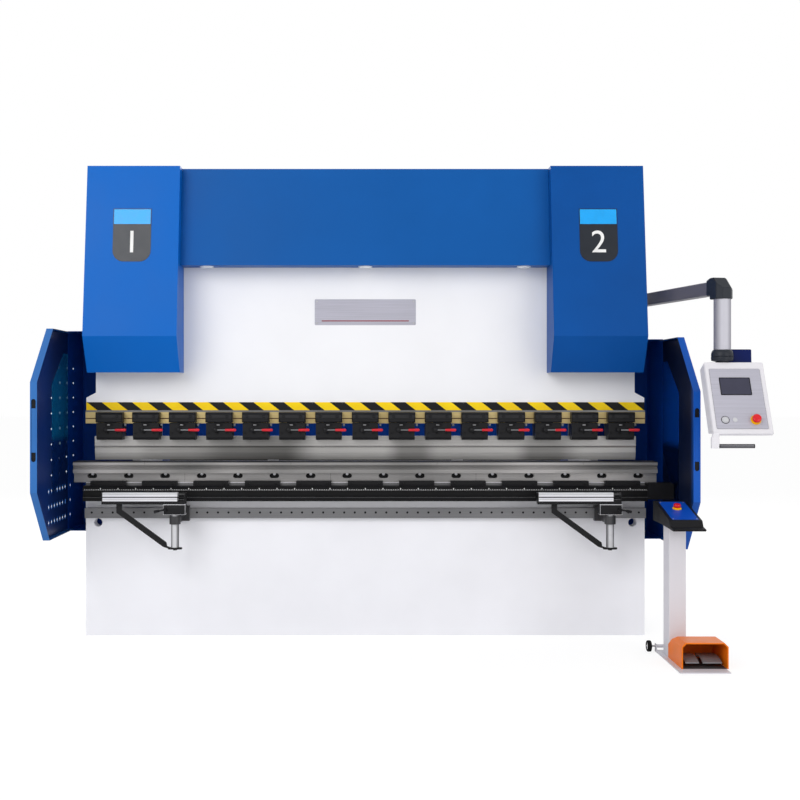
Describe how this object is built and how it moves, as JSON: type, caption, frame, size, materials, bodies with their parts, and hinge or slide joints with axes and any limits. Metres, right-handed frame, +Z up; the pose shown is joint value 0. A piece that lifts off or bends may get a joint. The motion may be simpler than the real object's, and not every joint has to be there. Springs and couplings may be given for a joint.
{
  "type": "press brake",
  "caption": "Hydraulic press brake with an opening ram, quick-clamp tool row, crowned die bed, swinging side guards, sheet support arms, pendant control and rolling foot switch.",
  "frame": {"origin": "on the floor, under the bending line, at the middle of the bed", "axes": "+X along the bed to the operator's right, -Y towards the operator, +Z up"},
  "size_m": [3.837, 2.149, 2.664],
  "materials": {
    "frame_white": "white powder coat, fine orange peel",
    "hood_blue": "blue powder coat, satin",
    "guard_blue": "blue powder coat, satin, darker inside",
    "guard_window": "tinted polycarbonate",
    "motor_grey": "grey machine enamel",
    "cylinder_black": "black enamel",
    "chrome_rod": "ground hard chrome",
    "lamp_white": "opal lens",
    "rail_black": "black anodised",
    "box_black": "black moulded housing",
    "guide_steel": "ground rail",
    "holder_steel": "milled steel",
    "tool_steel": "ground and brushed tool steel",
    "clamp_black": "black oxide",
    "tool_bar_brass": "yellow passivated steel",
    "lever_red": "red vinyl grip on a dark steel lever",
    "carriage_grey": "dark grey machined block",
    "arm_aluminium": "natural anodised slotted beam",
    "gauge_aluminium": "natural anodised",
    "finger_steel": "ground steel",
    "pendant_tube": "dark grey tube and castings over a light post",
    "pendant_shell": "light grey powder coat",
    "button_green": "illuminated push button",
    "estop_red": "red mushroom head",
    "stand_white": "white powder coat",
    "wheel_black": "black castor tread",
    "pedal_orange": "orange moulded guard",
    "pedal_grey": "grey cast tread"
  },
  "bodies": {
    "root": {"side_frame_left": "frame_white", "side_frame_right": "frame_white", "bed_plate": "frame_white", "oil_tank": "frame_white", "pump_motor": "motor_grey", "cylinders": "cylinder_black", "hood_left": "hood_blue", "hood_right": "hood_blue", "top_cover": "hood_blue", "cover_lamps": "lamp_white", "front_rail": "rail_black", "rail_end_box": "box_black", "guide_rail": "guide_steel", "die_holder": "holder_steel", "lower_die": "tool_steel", "die_clamps": "clamp_black", "guard_boxes": "guard_blue", "gauge_modules": "gauge_aluminium"},
    "ram": {"ram_plate": "frame_white", "piston_rods": "chrome_rod", "tool_bar": "tool_bar_brass", "punch": "tool_steel", "clamp_bodies": "clamp_black"},
    "lever_01": {"clamp_lever_01": "lever_red"},
    "lever_02": {"clamp_lever_02": "lever_red"},
    "lever_03": {"clamp_lever_03": "lever_red"},
    "lever_04": {"clamp_lever_04": "lever_red"},
    "lever_05": {"clamp_lever_05": "lever_red"},
    "lever_06": {"clamp_lever_06": "lever_red"},
    "lever_07": {"clamp_lever_07": "lever_red"},
    "lever_08": {"clamp_lever_08": "lever_red"},
    "lever_09": {"clamp_lever_09": "lever_red"},
    "lever_10": {"clamp_lever_10": "lever_red"},
    "lever_11": {"clamp_lever_11": "lever_red"},
    "lever_12": {"clamp_lever_12": "lever_red"},
    "lever_13": {"clamp_lever_13": "lever_red"},
    "lever_14": {"clamp_lever_14": "lever_red"},
    "lever_15": {"clamp_lever_15": "lever_red"},
    "guard_door_left": {"guard_left": "guard_blue", "guard_window_left": "guard_window"},
    "guard_door_right": {"guard_right": "guard_blue", "guard_window_right": "guard_window"},
    "carriage_left": {"arm_carriage_left": "carriage_grey"},
    "carriage_right": {"arm_carriage_right": "carriage_grey"},
    "sheet_arm_left": {"support_arm_left": "arm_aluminium"},
    "sheet_arm_right": {"support_arm_right": "arm_aluminium"},
    "back_gauge": {"gauge_beam": "gauge_aluminium"},
    "finger_left": {"gauge_finger_left": "finger_steel"},
    "finger_right": {"gauge_finger_right": "finger_steel"},
    "pendant_swing": {"pendant_arm": "pendant_tube"},
    "pendant_head": {"pendant_box": "pendant_shell"},
    "pendant_estop_head": {"pendant_estop": "estop_red"},
    "pendant_push_button": {"pendant_button": "button_green"},
    "foot_stand": {"stand_base": "stand_white", "stand_console": "box_black", "pedal_hood": "pedal_orange"},
    "stand_wheelset": {"stand_wheels": "wheel_black"},
    "pedal_tread_left": {"pedal_left": "pedal_grey"},
    "pedal_tread_right": {"pedal_right": "pedal_grey"},
    "console_estop_head": {"console_estop": "estop_red"}
  },
  "joints": [
    {"name": "ram_stroke", "type": "slide", "parent": "root", "child": "ram", "axis": [0, 0, 1], "range_m": [0, 0.15]},
    {"name": "lever_01_turn", "type": "hinge", "parent": "ram", "child": "lever_01", "pos_m": [-1.474, -0.105, 1.178], "axis": [0, 1, 0], "range_deg": [0, 90]},
    {"name": "lever_02_turn", "type": "hinge", "parent": "ram", "child": "lever_02", "pos_m": [-1.266, -0.105, 1.178], "axis": [0, 1, 0], "range_deg": [0, 90]},
    {"name": "lever_03_turn", "type": "hinge", "parent": "ram", "child": "lever_03", "pos_m": [-1.058, -0.105, 1.178], "axis": [0, 1, 0], "range_deg": [0, 90]},
    {"name": "lever_04_turn", "type": "hinge", "parent": "ram", "child": "lever_04", "pos_m": [-0.85, -0.105, 1.178], "axis": [0, 1, 0], "range_deg": [0, 90]},
    {"name": "lever_05_turn", "type": "hinge", "parent": "ram", "child": "lever_05", "pos_m": [-0.642, -0.105, 1.178], "axis": [0, 1, 0], "range_deg": [0, 90]},
    {"name": "lever_06_turn", "type": "hinge", "parent": "ram", "child": "lever_06", "pos_m": [-0.434, -0.105, 1.178], "axis": [0, 1, 0], "range_deg": [0, 90]},
    {"name": "lever_07_turn", "type": "hinge", "parent": "ram", "child": "lever_07", "pos_m": [-0.226, -0.105, 1.178], "axis": [0, 1, 0], "range_deg": [0, 90]},
    {"name": "lever_08_turn", "type": "hinge", "parent": "ram", "child": "lever_08", "pos_m": [-0.018, -0.105, 1.178], "axis": [0, 1, 0], "range_deg": [0, 90]},
    {"name": "lever_09_turn", "type": "hinge", "parent": "ram", "child": "lever_09", "pos_m": [0.19, -0.105, 1.178], "axis": [0, 1, 0], "range_deg": [0, 90]},
    {"name": "lever_10_turn", "type": "hinge", "parent": "ram", "child": "lever_10", "pos_m": [0.398, -0.105, 1.178], "axis": [0, 1, 0], "range_deg": [0, 90]},
    {"name": "lever_11_turn", "type": "hinge", "parent": "ram", "child": "lever_11", "pos_m": [0.606, -0.105, 1.178], "axis": [0, 1, 0], "range_deg": [0, 90]},
    {"name": "lever_12_turn", "type": "hinge", "parent": "ram", "child": "lever_12", "pos_m": [0.814, -0.105, 1.178], "axis": [0, 1, 0], "range_deg": [0, 90]},
    {"name": "lever_13_turn", "type": "hinge", "parent": "ram", "child": "lever_13", "pos_m": [1.022, -0.105, 1.178], "axis": [0, 1, 0], "range_deg": [0, 90]},
    {"name": "lever_14_turn", "type": "hinge", "parent": "ram", "child": "lever_14", "pos_m": [1.23, -0.105, 1.178], "axis": [0, 1, 0], "range_deg": [0, 90]},
    {"name": "lever_15_turn", "type": "hinge", "parent": "ram", "child": "lever_15", "pos_m": [1.438, -0.105, 1.178], "axis": [0, 1, 0], "range_deg": [0, 90]},
    {"name": "guard_left_swing", "type": "hinge", "parent": "root", "child": "guard_door_left", "pos_m": [-1.775, 0.203, 1.16], "axis": [0, 0, -1], "range_deg": [0, 95]},
    {"name": "guard_right_swing", "type": "hinge", "parent": "root", "child": "guard_door_right", "pos_m": [1.775, 0.203, 1.112], "axis": [0, 0, 1], "range_deg": [0, 95]},
    {"name": "carriage_left_slide", "type": "slide", "parent": "root", "child": "carriage_left", "axis": [1, 0, 0], "range_m": [-0.2, 0.9]},
    {"name": "carriage_right_slide", "type": "slide", "parent": "root", "child": "carriage_right", "axis": [1, 0, 0], "range_m": [-1.2, 0.12]},
    {"name": "arm_left_swing", "type": "hinge", "parent": "carriage_left", "child": "sheet_arm_left", "pos_m": [-1.057, -0.25, 0.6], "axis": [0, 0, 1], "range_deg": [0, 90]},
    {"name": "arm_right_swing", "type": "hinge", "parent": "carriage_right", "child": "sheet_arm_right", "pos_m": [1.36, -0.25, 0.6], "axis": [0, 0, 1], "range_deg": [0, 90]},
    {"name": "back_gauge_travel", "type": "slide", "parent": "root", "child": "back_gauge", "axis": [0, 1, 0], "range_m": [0, 0.45]},
    {"name": "finger_left_slide", "type": "slide", "parent": "back_gauge", "child": "finger_left", "axis": [1, 0, 0], "range_m": [-0.6, 0.4]},
    {"name": "finger_right_slide", "type": "slide", "parent": "back_gauge", "child": "finger_right", "axis": [1, 0, 0], "range_m": [-0.4, 0.6]},
    {"name": "pendant_arm_swing", "type": "hinge", "parent": "root", "child": "pendant_swing", "pos_m": [1.64, 0.33, 1.938], "axis": [0, 0, -1], "range_deg": [-75, 12]},
    {"name": "pendant_swivel", "type": "hinge", "parent": "pendant_swing", "child": "pendant_head", "pos_m": [1.855, -0.69, 1.6], "axis": [0, 0, 1], "range_deg": [-60, 60]},
    {"name": "pendant_estop_press", "type": "slide", "parent": "pendant_head", "child": "pendant_estop_head", "axis": [0, 0.8988, -0.4384], "range_m": [0, 0.005], "stiffness_N_per_m": 600, "springref_m": -0.003},
    {"name": "pendant_button_press", "type": "slide", "parent": "pendant_head", "child": "pendant_push_button", "axis": [0, 0.8988, -0.4384], "range_m": [0, 0.005], "stiffness_N_per_m": 500, "springref_m": -0.002},
    {"name": "stand_roll", "type": "slide", "parent": "root", "child": "foot_stand", "axis": [0, -1, 0], "range_m": [0, 0.4]},
    {"name": "stand_wheel_spin", "type": "hinge", "parent": "foot_stand", "child": "stand_wheelset", "pos_m": [1.684, -0.482, 0.031], "axis": [1, 0, 0], "continuous": true},
    {"name": "pedal_left_press", "type": "hinge", "parent": "foot_stand", "child": "pedal_tread_left", "pos_m": [1.6447, -0.742, 0.04], "axis": [1, 0, 0], "range_deg": [0, 7], "stiffness_Nm_per_rad": 8, "springref_deg": -14.32},
    {"name": "pedal_right_press", "type": "hinge", "parent": "foot_stand", "child": "pedal_tread_right", "pos_m": [1.7463, -0.742, 0.04], "axis": [1, 0, 0], "range_deg": [0, 7], "stiffness_Nm_per_rad": 8, "springref_deg": -14.32},
    {"name": "console_estop_press", "type": "slide", "parent": "foot_stand", "child": "console_estop_head", "axis": [0, 0.2176, -0.976], "range_m": [0, 0.005], "stiffness_N_per_m": 600, "springref_m": -0.003}
  ]
}
